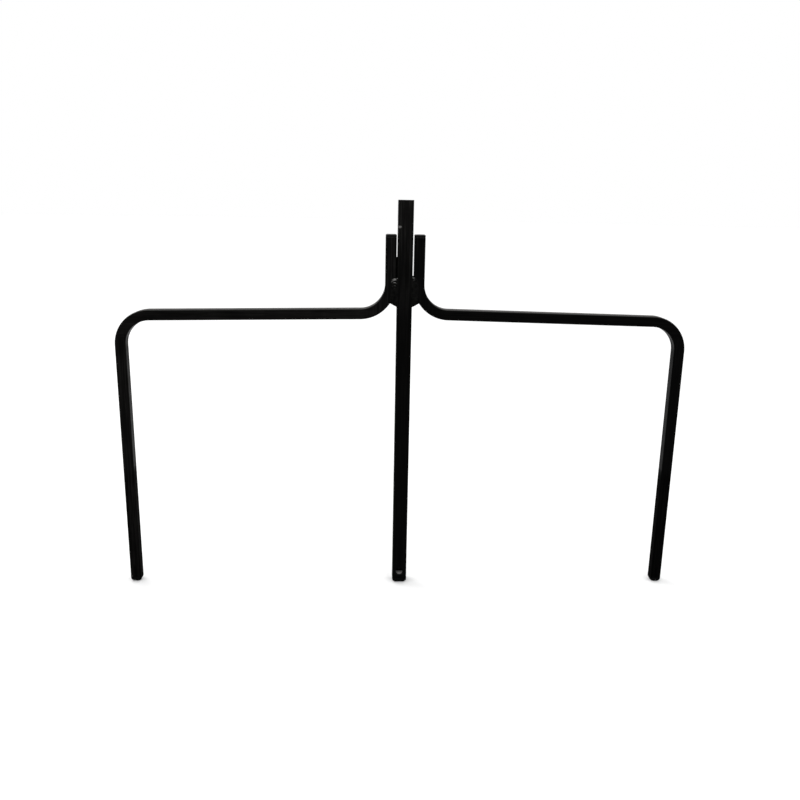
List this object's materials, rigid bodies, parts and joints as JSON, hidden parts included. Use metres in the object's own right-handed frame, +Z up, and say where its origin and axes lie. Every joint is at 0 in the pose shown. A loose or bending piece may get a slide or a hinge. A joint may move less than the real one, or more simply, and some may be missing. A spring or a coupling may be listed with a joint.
{
  "type": "clothing rack base frame",
  "caption": "Black welded base frame of a garment rack: a hollow square post with a twice-bent square-tube leg on each side, capped tube ends.",
  "frame": {"origin": "on the floor, on the post's vertical axis, at the middle of the object's box", "axes": "+Z up along the post, legs reach out along +X and -X, -Y is the front seen by the viewer"},
  "size_m": [0.8426, 0.023, 0.5882],
  "materials": {
    "powder_coat": "semi-gloss black powder coat on steel tube, fine orange peel",
    "coated_weld": "semi-gloss black powder coat over rippled weld metal",
    "cap_plastic": "satin black moulded polyethylene"
  },
  "bodies": {
    "root": {"post_tube": "powder_coat", "left_leg_tube": "powder_coat", "right_leg_tube": "powder_coat", "post_foot_cap": "cap_plastic", "left_foot_cap": "cap_plastic", "right_foot_cap": "cap_plastic", "left_stub_cap": "cap_plastic", "right_stub_cap": "cap_plastic", "weld_left_front": "coated_weld", "weld_left_rear": "coated_weld", "weld_right_front": "coated_weld", "weld_right_rear": "coated_weld"}
  },
  "joints": []
}
